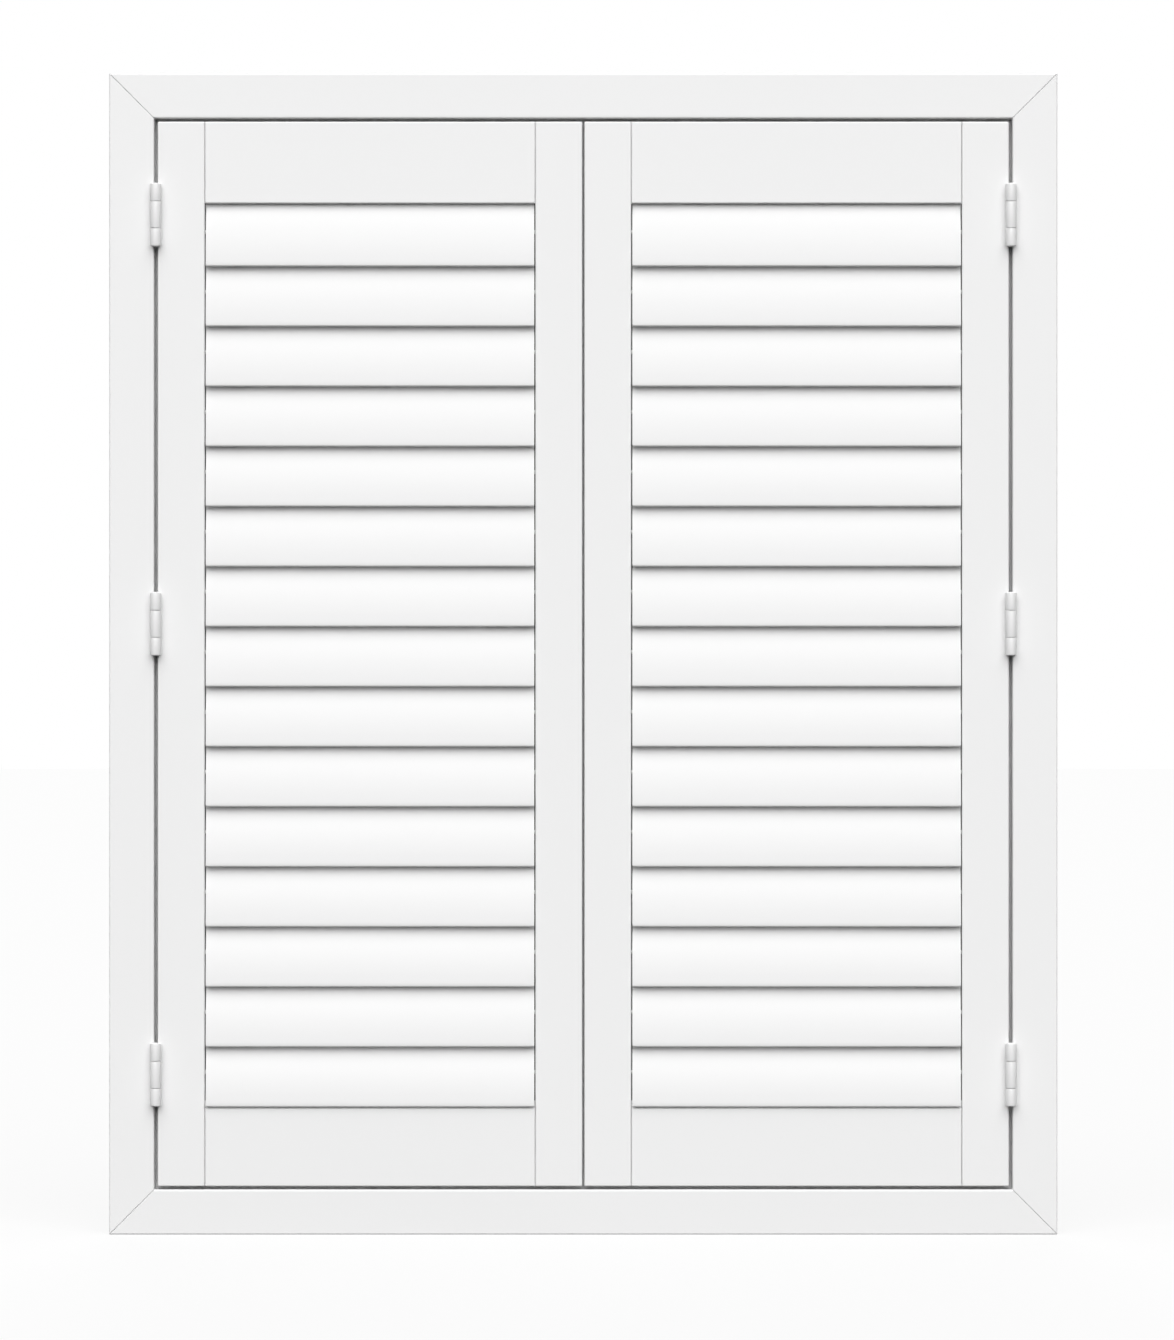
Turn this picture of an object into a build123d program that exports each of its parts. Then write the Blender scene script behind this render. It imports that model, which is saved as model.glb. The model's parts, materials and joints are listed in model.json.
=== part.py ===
from build123d import *
from math import cos, radians, sin, sqrt
import os

# A pair of louvred shutters in their own mitred frame.
# All lengths are in millimetres. X is to the right, Z is up, and the room is at -Y.
# The origin is at the foot of the frame, half way along it, in the plane of the wall's face.

# Frame
frame_width = 1024.0
frame_height = 1254.0
face_width = 48.5
face_thickness = 19.0
leg_thickness = 24.0
leg_depth = 31.0
stop_projection = 12.0
stop_thickness = 7.0
stop_gap = 1.0
stop_foot = 22.0
centre_stop_width = 20.0
frame_outer_radius = 1.5
frame_inner_radius = 2.0
mitre_easing = 0.35
key_length = 18.0
key_end_width = 9.0
key_waist_width = 4.0
key_depth = 12.0
fixing_count = 4
fixing_spacing = 340.0
fixing_hole_radius = 2.5
fixing_head_radius = 4.2
fixing_from_back = 4.6

# Gaps round the panels
side_gap = 3.8
end_gap = 3.5
centre_gap = 2.0
meeting_bevel = 1.5

# Panels
stile_width = 50.8
stile_thickness = 20.0
panel_easing = 1.5
rail_set_back = 0.5
top_rail_height = 88.2
bottom_rail_least = 75.0
tongue_thickness = 6.2
tongue_reach = 1.7
front_rebate_height = 8.2
back_rebate_height = 17.0
dowel_radius = 4.0
dowel_length = 50.0
dowel_spacing = 44.0

# Louvres
louvre_width = 76.2
louvre_thickness = 8.0
tip_radius = 1.8
louvre_pitch = 64.84
rail_to_pivot = 30.7
closed_angle = 80.0
louvre_end_gap = 1.2
pivot_from_front = 5.0
pivot_radius = 2.2
pivot_reach = 12.0
pivot_clearance = 0.05

# Tilt bars behind the louvres
eye_distance = 43.0
eye_radius = 3.2
eye_hole_radius = 1.6
eye_thickness = 3.0
eye_inset = 30.0
eye_web = 3.2
stud_clearance = 0.1
ear_radius = 2.6
ear_gap = 0.4
bar_width = 10.0
bar_depth = 5.0
bar_easing = 1.0
bar_standoff = 4.0
bar_overrun = 4.2

# Hinges
hinge_from_top = 101.0
hinge_middle_rise = 32.5
hinge_from_bottom = 121.0
barrel_radius = 6.0
knuckle_outer = 18.8
knuckle_middle = 28.8
knuckle_gap = 0.4
knuckle_chamfer = 0.5
leaf_thickness = 1.6
leaf_depth = 17.6
leaf_corner = 3.0
leaf_clearance = 0.4
hinge_pin_radius = 2.5
hinge_pin_clearance = 0.05
pin_button_radius = 4.2
pin_button_height = 1.0
leaf_screw_spacing = 44.0
screw_length = 18.0
screw_radius = 1.75
screw_head_radius = 3.2

# Magnetic catches
magnet_width = 24.0
magnet_height = 6.0
magnet_depth = 4.0
catch_plate_thickness = 1.0
catch_edge = 4.8

# Places worked out from the sizes above
opening_width = frame_width - 2 * face_width
opening_height = frame_height - 2 * face_width
wall_y = 0.0
face_y = wall_y - face_thickness
panel_width = (opening_width - 2 * side_gap - centre_gap) / 2
panel_height = opening_height - 2 * end_gap
panel_foot = face_width + end_gap
panel_top = panel_foot + panel_height
panel_y = face_y + stile_thickness / 2
pivot_y = face_y + pivot_from_front
rail_front = face_y + rail_set_back
rail_back = face_y + stile_thickness - rail_set_back
panel_back = face_y + stile_thickness
meeting_x = centre_gap / 2
hinge_edge_x = meeting_x + panel_width
louvre_room_left = meeting_x + stile_width
louvre_room_right = hinge_edge_x - stile_width
louvre_room_width = louvre_room_right - louvre_room_left
louvre_room_most = panel_height - top_rail_height - bottom_rail_least
louvre_count = 1 + int((louvre_room_most - 2 * rail_to_pivot) / louvre_pitch)
louvre_room_height = (louvre_count - 1) * louvre_pitch + 2 * rail_to_pivot
bottom_rail_height = panel_height - top_rail_height - louvre_room_height
louvre_length = louvre_room_width - 2 * louvre_end_gap
first_pivot = panel_top - top_rail_height - rail_to_pivot
hinge_x = opening_width / 2 - side_gap / 2
hinge_y = face_y - barrel_radius
hinge_height = 2 * knuckle_outer + knuckle_middle + 2 * knuckle_gap
panel_middle = panel_foot + panel_height / 2
hinge_heights = (
    panel_top - hinge_from_top,
    panel_middle + hinge_middle_rise,
    panel_foot + hinge_from_bottom,
)
stop_front = panel_back + stop_gap
eye_x = louvre_room_right - eye_inset
tilt = radians(closed_angle)
easing_side = mitre_easing * sqrt(2)


def block(x0, x1, y0, y1, z0, z1):
    """A box between two corners."""
    size = Box(x1 - x0, y1 - y0, z1 - z0)
    return Pos((x0 + x1) / 2, (y0 + y1) / 2, (z0 + z1) / 2) * size


def rod_x(radius, x0, x1, y, z):
    """A round bar along X."""
    return Pos((x0 + x1) / 2, y, z) * Rot(0, 90, 0) * Cylinder(radius, x1 - x0)


def other_side(shape):
    """The same piece for the left-hand side."""
    return mirror(shape, about=Plane.YZ)


def frame_outline():
    """Section of the frame: a flat face, a leg into the wall and a stop behind the panels."""
    stop_tip = face_width + stop_projection
    stop_back = stop_front + stop_thickness
    outline = make_face(
        Polyline(
            (0, face_y),
            (face_width, face_y),
            (face_width, stop_front),
            (stop_tip, stop_front),
            (stop_tip, stop_back),
            (face_width, stop_foot),
            (face_width, leg_depth),
            (face_width - leg_thickness, leg_depth),
            (face_width - leg_thickness, wall_y),
            (0, wall_y),
            close=True,
        )
    )
    front = outline.vertices().group_by(Axis.Y)[0].sort_by(Axis.X)
    outline = fillet(front[0], frame_outer_radius)
    inner = outline.vertices().filter_by_position(Axis.X, face_width - 0.01, face_width + 0.01)
    return fillet(inner.sort_by(Axis.Y)[0], frame_inner_radius)


def frame_member(length):
    """One side of the frame, upright, outer edge on X = 0, with both ends mitred."""
    member = extrude(frame_outline(), length / 2, both=True)
    for end in (-1, 1):
        mitre = Plane(origin=(0, 0, end * length / 2), z_dir=(1, 0, end))
        member = split(member, bisect_by=mitre, keep=Keep.BOTTOM)
        along_joint = Plane(origin=(0, face_y, end * length / 2), x_dir=(1, 0, -end), z_dir=(0, 1, 0))
        member -= along_joint * Rot(45, 0, 0) * Box(4 * face_width, easing_side, easing_side)
    return member


def centre_stop():
    """A slim upright between the stops of head and sill, which closes the gap between the panels."""
    foot = face_width + stop_projection
    half = centre_stop_width / 2
    post = block(-half, half, stop_front, stop_front + stop_thickness, foot, frame_height - foot)
    return chamfer(post.edges().filter_by(Axis.Z), panel_easing)


def corner_key(side, end):
    """A bow-tie key let into the back of one mitred corner."""
    half = key_length / 2
    waist = key_waist_width / 2
    wing = key_end_width / 2
    bow_tie = make_face(
        Polyline((-half, -wing), (0, -waist), (half, -wing), (half, wing), (0, waist), (-half, wing), close=True)
    )
    key = extrude(bow_tie, key_depth)
    inset = face_width - leg_thickness / 2
    corner_x = side * (frame_width / 2 - inset)
    corner_z = frame_height / 2 + end * (frame_height / 2 - inset)
    seat = Plane(origin=(corner_x, leg_depth, corner_z), x_dir=(side, 0, -end), z_dir=(0, -1, 0))
    return seat * key


def corner_keys():
    """The keys of all four corners."""
    return [corner_key(side, end) for side in (-1, 1) for end in (-1, 1)]


def catch_magnet(side, end):
    """A block magnet let into the stop, flush with its front."""
    middle_x = side * (meeting_x + stile_width / 2)
    edge = frame_height / 2 + end * opening_height / 2
    z = edge - end * (catch_edge + magnet_height / 2)
    return block(
        middle_x - magnet_width / 2,
        middle_x + magnet_width / 2,
        stop_front,
        stop_front + magnet_depth,
        z - magnet_height / 2,
        z + magnet_height / 2,
    )


def catch_plate(end):
    """A steel plate let into the back of the right-hand meeting stile, opposite its magnet."""
    magnet = catch_magnet(1, end)
    seat = magnet.center()
    return Pos(seat.X, panel_back - catch_plate_thickness / 2, seat.Z) * Box(
        magnet_width, catch_plate_thickness, magnet_height
    )


def fixing_hole(z):
    """A screw hole through the right-hand jamb, countersunk from the opening."""
    y = leg_depth - fixing_from_back
    inner = opening_width / 2
    outer = inner + leg_thickness
    head_depth = fixing_head_radius - fixing_hole_radius
    hole = rod_x(fixing_hole_radius, inner - 1, outer + 1, y, z)
    head = Cone(fixing_head_radius, fixing_hole_radius, head_depth)
    return hole + Pos(inner + head_depth / 2, y, z) * Rot(0, 90, 0) * head


def fixing_heights():
    """Heights of the fixing screws in each jamb."""
    middle = (fixing_count - 1) / 2
    return [frame_height / 2 + (i - middle) * fixing_spacing for i in range(fixing_count)]


def hinge_knuckle(length, z):
    """One knuckle of a hinge, without its bore."""
    knuckle = Cylinder(barrel_radius, length)
    knuckle = chamfer(knuckle.edges().filter_by(GeomType.CIRCLE), knuckle_chamfer)
    return Pos(hinge_x, hinge_y, z) * knuckle


def hinge_bore(z):
    """The bore for a hinge pin, right through."""
    bore = hinge_pin_radius + hinge_pin_clearance
    return Pos(hinge_x, hinge_y, z) * Cylinder(bore, hinge_height + 2)


def leaf_plate(x, z, knuckles):
    """A hinge's flat leaf with a neck to each of its knuckles, listed as (height, length)."""
    front = face_y + leaf_clearance
    plate = block(x, x + leaf_thickness, front, front + leaf_depth, z - hinge_height / 2, z + hinge_height / 2)
    back = plate.edges().filter_by(Axis.X).group_by(Axis.Y)[-1]
    plate = fillet(back, leaf_corner)
    for height, length in knuckles:
        neck = block(x, x + leaf_thickness, hinge_y + barrel_radius / 2, front, height - length / 2, height + length / 2)
        plate += neck + hinge_knuckle(length, height)
    return plate


def leaf_screw(x, z, outward):
    """A countersunk screw through a leaf at x, driven the way outward says (1 or -1 along X)."""
    y = face_y + leaf_clearance + leaf_depth / 2
    head_height = screw_head_radius - screw_radius
    head = Cone(screw_head_radius, screw_radius, head_height)
    turn = Rot(0, 90 * outward, 0)
    shank_start = x + outward * head_height
    shank_end = x + outward * screw_length
    shank = rod_x(screw_radius, min(shank_start, shank_end), max(shank_start, shank_end), y, z)
    return Pos(x + outward * head_height / 2, y, z) * turn * head + shank


def frame_leaf_x():
    """The side of the frame's leaf that faces the panel."""
    return opening_width / 2 - leaf_thickness


def screw_heights(z):
    """Heights of the two screws of one leaf."""
    return (z - leaf_screw_spacing / 2, z + leaf_screw_spacing / 2)


def frame_leaf_screws():
    """The screws of the right-hand frame leaves."""
    return [leaf_screw(frame_leaf_x(), h, 1) for z in hinge_heights for h in screw_heights(z)]


def panel_leaf_screws():
    """The screws of the right-hand panel leaves."""
    x = hinge_edge_x + leaf_thickness
    return [leaf_screw(x, h, -1) for z in hinge_heights for h in screw_heights(z)]


def frame_leaf(z):
    """The leaf on the jamb, with the two outer knuckles."""
    offset = (knuckle_middle + knuckle_outer) / 2 + knuckle_gap
    knuckles = [(z - offset, knuckle_outer), (z + offset, knuckle_outer)]
    leaf = leaf_plate(frame_leaf_x(), z, knuckles) - hinge_bore(z)
    return leaf - [leaf_screw(frame_leaf_x(), h, 1) for h in screw_heights(z)]


def panel_leaf(z):
    """The leaf on the stile, with the middle knuckle."""
    leaf = leaf_plate(hinge_edge_x, z, [(z, knuckle_middle)]) - hinge_bore(z)
    x = hinge_edge_x + leaf_thickness
    return leaf - [leaf_screw(x, h, -1) for h in screw_heights(z)]


def hinge_pin(z):
    """A hinge pin with a low round button over each outer knuckle."""
    pin = Cylinder(hinge_pin_radius, hinge_height)
    for end in (-1, 1):
        button = Pos(0, 0, end * (hinge_height + pin_button_height) / 2) * Cylinder(
            pin_button_radius, pin_button_height
        )
        rim = button.edges().group_by(Axis.Z)[-1 if end > 0 else 0]
        pin += fillet(rim, pin_button_height * 0.7)
    return Pos(hinge_x, hinge_y, z) * pin


def pivot_heights():
    """Heights of the louvres' pivots, from the top."""
    return [first_pivot - i * louvre_pitch for i in range(louvre_count)]


def stile(x0, x1, bevelled):
    """An upright of the panel between two X values, bevelled to the back on its x0 edge if asked."""
    back_x0 = x0 + meeting_bevel if bevelled else x0
    outline = make_face(
        Polyline((x0, face_y), (x1, face_y), (x1, panel_back), (back_x0, panel_back), close=True)
    )
    piece = Pos(0, 0, panel_foot) * extrude(outline, panel_height)
    return fillet(piece.edges(), panel_easing)


def pivot_bores(x0, x1):
    """Blind bores for the louvres' pivots between two X values."""
    return [rod_x(pivot_radius, x0, x1, pivot_y, z) for z in pivot_heights()]


def hinge_stile():
    """The stile that carries the hinges."""
    piece = stile(louvre_room_right, hinge_edge_x, False)
    piece -= pivot_bores(louvre_room_right, louvre_room_right + pivot_reach)
    return piece - panel_leaf_screws() - rail_dowels()


def meeting_stile():
    """The stile at the middle of the window."""
    piece = stile(meeting_x, louvre_room_left, True)
    piece -= pivot_bores(louvre_room_left - pivot_reach, louvre_room_left)
    return piece - rail_dowels() - [catch_plate(end) for end in (-1, 1)]


def rail(end):
    """A cross rail of the panel, with the tongue that the louvres close on.

    The top rail's tongue is flush with its front, so that the first louvre closes behind it. The bottom
    rail's tongue is set back, so that the last louvre closes in front of it. The rebate behind each tongue
    is high enough for the tilt bar's end.
    """
    outer = panel_top if end > 0 else panel_foot
    edge = panel_top - top_rail_height if end > 0 else panel_foot + bottom_rail_height
    back_ledge = edge + end * back_rebate_height
    front_ledge = edge + end * front_rebate_height
    tongue_front = rail_front if end > 0 else pivot_y - tongue_reach
    tongue_back = pivot_y + tongue_reach if end > 0 else tongue_front + tongue_thickness
    corners = [(rail_front, outer), (rail_back, outer), (rail_back, back_ledge), (tongue_back, back_ledge)]
    corners += [(tongue_back, edge), (tongue_front, edge)]
    if end < 0:
        corners += [(tongue_front, front_ledge), (rail_front, front_ledge)]
    section = make_face(Polyline(*corners, close=True))
    section = fillet(section.vertices().group_by(Axis.X)[0], panel_easing)
    seat = Plane(origin=(louvre_room_left, 0, 0), x_dir=(0, 1, 0), z_dir=(1, 0, 0))
    return extrude(seat * section, louvre_room_width) - rail_dowels()


def rail_dowels():
    """The dowels that join the rails to the stiles."""
    dowels = []
    for rail_middle in (panel_top - top_rail_height / 2, panel_foot + bottom_rail_height / 2):
        for z in (rail_middle - dowel_spacing / 2, rail_middle + dowel_spacing / 2):
            for x in (louvre_room_left, louvre_room_right):
                dowels.append(rod_x(dowel_radius, x - dowel_length / 2, x + dowel_length / 2, panel_y, z))
    return dowels


def louvre_pivots():
    """Plain pins set in the stiles, on which the louvres turn."""
    pins = []
    for z in pivot_heights():
        for x in (louvre_room_left, louvre_room_right):
            pins.append(rod_x(pivot_radius, x - pivot_reach, x + pivot_reach, pivot_y, z))
    return pins


def louvre_outline():
    """Section of a louvre: two long arcs that run into round tips."""
    half_thickness = louvre_thickness / 2
    tip_centre = louvre_width / 2 - tip_radius
    face_radius = (tip_centre**2 + half_thickness**2 - tip_radius**2) / (louvre_thickness - 2 * tip_radius)
    face_centre = half_thickness - face_radius
    grow = face_radius / (face_radius - tip_radius)
    touch = (tip_centre * grow, face_centre * (1 - grow))
    return make_face(
        [
            ThreePointArc((-touch[0], touch[1]), (0, half_thickness), touch),
            ThreePointArc(touch, (louvre_width / 2, 0), (touch[0], -touch[1])),
            ThreePointArc((touch[0], -touch[1]), (0, -half_thickness), (-touch[0], -touch[1])),
            ThreePointArc((-touch[0], -touch[1]), (-louvre_width / 2, 0), (-touch[0], touch[1])),
        ]
    )


def chord_plane(x):
    """A plane across a louvre whose X runs up the blade to its back edge, at the closed angle."""
    return Plane(origin=(x, pivot_y, 0), x_dir=(0, cos(tilt), sin(tilt)), z_dir=(1, 0, 0))


def louvre():
    """A louvre at height 0: the blade, its pivot bores and the moulded eye for the tilt bar."""
    x0 = louvre_room_left + louvre_end_gap
    blade = extrude(chord_plane(x0) * louvre_outline(), louvre_length)
    bore = pivot_radius + pivot_clearance
    blade -= rod_x(bore, x0, louvre_room_left + pivot_reach + louvre_end_gap, pivot_y, 0)
    blade -= rod_x(bore, louvre_room_right - pivot_reach - louvre_end_gap, x0 + louvre_length, pivot_y, 0)
    root = louvre_width / 2 - 2 * tip_radius
    web = Pos((root + eye_distance) / 2, 0) * Rectangle(eye_distance - root, eye_web)
    lug = web + Pos(eye_distance, 0) * Circle(eye_radius) - Pos(eye_distance, 0) * Circle(eye_hole_radius)
    return blade + extrude(chord_plane(eye_x - eye_thickness / 2) * lug, eye_thickness)


def tilt_bar():
    """The upright bar behind the louvres, with an ear and a stud for each louvre's eye."""
    eye_y = pivot_y + eye_distance * cos(tilt)
    rise = eye_distance * sin(tilt)
    top = first_pivot + rise + bar_overrun
    foot = first_pivot - (louvre_count - 1) * louvre_pitch + rise - bar_overrun
    bar_front = eye_y + bar_standoff
    ear_x = eye_x + eye_thickness / 2 + ear_gap
    bar = block(eye_x - bar_width / 2, eye_x + bar_width / 2, bar_front, bar_front + bar_depth, foot, top)
    long_edges = bar.edges().filter_by(Axis.Z)
    bar = fillet(long_edges, bar_easing)
    ear_end = eye_x + bar_width / 2 - bar_easing
    for pivot in pivot_heights():
        z = pivot + rise
        bar += rod_x(ear_radius, ear_x, ear_end, eye_y, z)
        bar += block(ear_x, ear_end, eye_y, bar_front, z - ear_radius, z + ear_radius)
        bar += rod_x(
            eye_hole_radius - stud_clearance, eye_x - eye_thickness / 2 - ear_gap, ear_x, eye_y, z
        )
    return bar


def write(node, shape):
    """Write one node, which may be a group of separate solids."""
    if isinstance(shape, list):
        shape = Compound(children=[piece.solid() if hasattr(piece, "solid") else piece for piece in shape])
    export_step(shape, os.path.join("parts", node + ".step"))


def write_frame():
    """The frame's own pieces and what is fixed to them."""
    keys = corner_keys()
    magnets = [catch_magnet(side, end) for side in (-1, 1) for end in (-1, 1)]
    upright = frame_member(frame_height)
    across = frame_member(frame_width)
    middle = frame_height / 2
    jamb = Pos(frame_width / 2, 0, middle) * Rot(0, 180, 0) * upright
    jamb = jamb - [fixing_hole(z) for z in fixing_heights()] - frame_leaf_screws() - keys
    head = Pos(0, 0, frame_height) * Rot(0, 90, 0) * across - keys - magnets
    sill = Rot(0, -90, 0) * across - keys - magnets
    write("frame_jamb_right", jamb)
    write("frame_jamb_left", other_side(jamb))
    write("frame_head", head)
    write("frame_sill", sill)
    write("frame_centre_stop", centre_stop())
    write("corner_keys", keys)
    write("catch_magnets", magnets)


def write_hinges():
    """The hinges, side by side."""
    frame_leaves = [frame_leaf(z) for z in hinge_heights]
    panel_leaves = [panel_leaf(z) for z in hinge_heights]
    pins = [hinge_pin(z) for z in hinge_heights]
    frame_screws = frame_leaf_screws()
    panel_screws = panel_leaf_screws()
    write("hinge_frame_leaves", frame_leaves + [other_side(leaf) for leaf in frame_leaves])
    write("hinge_panel_leaves_right", panel_leaves)
    write("hinge_panel_leaves_left", [other_side(leaf) for leaf in panel_leaves])
    write("hinge_pins", pins + [other_side(pin) for pin in pins])
    write("frame_hinge_screws", frame_screws + [other_side(screw) for screw in frame_screws])
    write("panel_hinge_screws_right", panel_screws)
    write("panel_hinge_screws_left", [other_side(screw) for screw in panel_screws])


def write_panels():
    """Both panels: stiles, rails, dowels, catch plates, pivots, louvres and tilt bars."""
    singles = {
        "hinge_stile": hinge_stile(),
        "meeting_stile": meeting_stile(),
        "top_rail": rail(1),
        "bottom_rail": rail(-1),
        "tilt_bar": tilt_bar(),
    }
    groups = {
        "rail_dowels": rail_dowels(),
        "catch_plates": [catch_plate(end) for end in (-1, 1)],
        "louvre_pivots": louvre_pivots(),
    }
    for name, piece in singles.items():
        write(name + "_right", piece)
        write(name + "_left", other_side(piece))
    for name, pieces in groups.items():
        write(name + "_right", pieces)
        write(name + "_left", [other_side(piece) for piece in pieces])
    right_louvre = louvre()
    left_louvre = other_side(right_louvre)
    for number, z in enumerate(pivot_heights(), start=1):
        write(f"louvre_right_{number:02d}", Pos(0, 0, z) * right_louvre)
        write(f"louvre_left_{number:02d}", Pos(0, 0, z) * left_louvre)


os.makedirs("parts", exist_ok=True)
write_frame()
write_hinges()
write_panels()
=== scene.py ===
import json
import math

import bmesh
import bpy
from mathutils import Matrix, Vector


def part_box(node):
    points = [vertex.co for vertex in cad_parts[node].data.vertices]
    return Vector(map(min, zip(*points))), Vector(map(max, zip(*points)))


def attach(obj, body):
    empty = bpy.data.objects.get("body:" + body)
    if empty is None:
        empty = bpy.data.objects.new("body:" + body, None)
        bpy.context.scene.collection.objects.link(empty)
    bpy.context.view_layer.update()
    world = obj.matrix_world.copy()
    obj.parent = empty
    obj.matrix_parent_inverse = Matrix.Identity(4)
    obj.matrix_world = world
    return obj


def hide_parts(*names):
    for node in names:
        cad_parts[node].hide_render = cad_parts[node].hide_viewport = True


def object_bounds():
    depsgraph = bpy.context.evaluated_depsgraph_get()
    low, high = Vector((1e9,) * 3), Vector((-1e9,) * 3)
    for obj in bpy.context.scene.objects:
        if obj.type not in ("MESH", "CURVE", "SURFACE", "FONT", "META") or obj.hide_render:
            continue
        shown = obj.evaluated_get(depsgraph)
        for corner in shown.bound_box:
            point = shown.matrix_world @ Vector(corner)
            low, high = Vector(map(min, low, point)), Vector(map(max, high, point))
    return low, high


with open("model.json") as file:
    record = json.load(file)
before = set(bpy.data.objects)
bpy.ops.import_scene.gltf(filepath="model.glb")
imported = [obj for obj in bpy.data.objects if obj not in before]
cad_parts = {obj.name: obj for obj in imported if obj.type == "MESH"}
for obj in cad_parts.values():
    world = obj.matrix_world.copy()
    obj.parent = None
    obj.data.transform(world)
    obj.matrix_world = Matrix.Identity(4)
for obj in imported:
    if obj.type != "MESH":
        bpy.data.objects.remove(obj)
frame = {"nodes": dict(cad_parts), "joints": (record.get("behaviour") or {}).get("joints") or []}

bl_info = {
    "name": "Louvred shutters",
    "version": (1, 0, 0),
    "blender": (4, 5, 0),
    "location": "View3D > Sidebar > Shutters",
    "description": "Finishes a pair of louvred shutters and lights them in a plain studio",
    "category": "Object",
}

MM = 0.001
QUARTER_TURN = math.pi / 2
WHITE = (1, 1, 1, 1)
PHOTO_WIDTH = 1174
PHOTO_HEIGHT = 1340
# The middle of the shutters in the photograph, in picture elements from its top left corner
PHOTO_CENTRE = (583.3, 654.0)
SIDES = ("left", "right")
CAD_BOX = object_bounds()

# Vertices closer than WELD are one, and a vertex within NEAR of a plane lies on it
WELD = 0.001 * MM
NEAR = 0.01 * MM

# Edges of round pieces that turn more than this stay crisp
SHARP_ANGLE = math.radians(12)

# A vertex is at a mitre when it is this near an outer corner, and this near the line at 45 degrees
MITRE_REACH = 80 * MM
MITRE_BAND = 1 * MM

# How finely the round shapes are divided
FACE_STEPS = 24
TIP_STEPS = 16
END_STEPS = 3
BORE_STEPS = 24
EYE_STEPS = 24
EYE_HOLE_STEPS = 20
KNUCKLE_STEPS = 40
KNUCKLE_END_STEPS = 4
BUTTON_STEPS = 8
LEAF_CORNER_STEPS = 6
SCREW_HOLE_STEPS = 28
SCREW_STEPS = 32

# The camera's film width in mm, and the floor's and the view's reach in metres
FILM_WIDTH = 36
FLOOR_REACH = 30
VIEW_REACH = 100

TIMBER_PAINT = "sprayed satin paint on timber"
# Painted shade: the louvres get the frame's white made darker, because their tilted faces catch more
# light from above
SHADED_LOUVRE_PAINT = "sprayed satin paint on louvres, darkened as painted shade"
HINGE_PAINT = "stoved paint on steel"

# Each node of hinge leaves with its screws, its body, and which way the screws point on the right
LEAVES = (
    ("hinge_frame_leaves", "frame_hinge_screws", "frame", 1),
    ("hinge_panel_leaves_left", "panel_hinge_screws_left", "panel_left", -1),
    ("hinge_panel_leaves_right", "panel_hinge_screws_right", "panel_right", -1),
)


class PaintSettings(bpy.types.PropertyGroup):
    """Colours and surface of the painted timber and metal."""

    timber: bpy.props.StringProperty(
        name="Timber paint", description="Colour of the paint on frame and panels", default="E6E6E6"
    )
    # Painted shade: darker than the timber paint, to offset the extra light that the louvres' upward
    # tilt catches
    louvre: bpy.props.StringProperty(
        name="Louvre paint with painted shade", description="Colour of the paint on the louvres", default="DFDFDF"
    )
    # Partly painted shade: the nylon's grey is darkened so that the pivots stay dark in the gaps
    nylon: bpy.props.StringProperty(
        name="Nylon", description="Colour of the moulded pivots and corner keys", default="B4B4B2"
    )
    hinge: bpy.props.StringProperty(
        name="Hinge paint", description="Colour of the paint on the hinges", default="E2E2E2"
    )
    peel_spacing: bpy.props.FloatProperty(
        name="Paint texture", description="Spacing of the low bumps of sprayed paint",
        default=2.2 * MM, unit="LENGTH",
    )
    peel_height: bpy.props.FloatProperty(
        name="Texture height", description="Height of those bumps", default=0.02 * MM, unit="LENGTH"
    )
    roughness: bpy.props.FloatProperty(
        name="Satin", description="Roughness of the dry paint on timber",
        default=0.42, min=0, max=1, subtype="FACTOR",
    )
    hinge_roughness: bpy.props.FloatProperty(
        name="Hinge satin", description="Roughness of the paint on the hinges",
        default=0.336, min=0, max=1, subtype="FACTOR",
    )
    nylon_roughness: bpy.props.FloatProperty(
        name="Nylon roughness", description="Roughness of the moulded nylon",
        default=0.5, min=0, max=1, subtype="FACTOR",
    )
    zinc: bpy.props.StringProperty(
        name="Zinc", description="Colour of the plated magnets and plates", default="B8BABC"
    )
    zinc_roughness: bpy.props.FloatProperty(
        name="Zinc roughness", description="Roughness of the plating",
        default=0.35, min=0, max=1, subtype="FACTOR",
    )
    beech: bpy.props.StringProperty(
        name="Beech", description="Colour of the bare dowels", default="CBAC84"
    )
    fleck_length: bpy.props.FloatProperty(
        name="Fleck length", description="Length of the beech's flecks",
        default=8.3 * MM, unit="LENGTH",
    )
    fleck_width: bpy.props.FloatProperty(
        name="Fleck width", description="Width of the beech's flecks",
        default=0.67 * MM, unit="LENGTH",
    )
    fleck_shade: bpy.props.FloatProperty(
        name="Fleck shade", description="Brightness of the flecks beside the wood's",
        default=0.8, min=0, max=1, subtype="FACTOR",
    )


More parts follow.
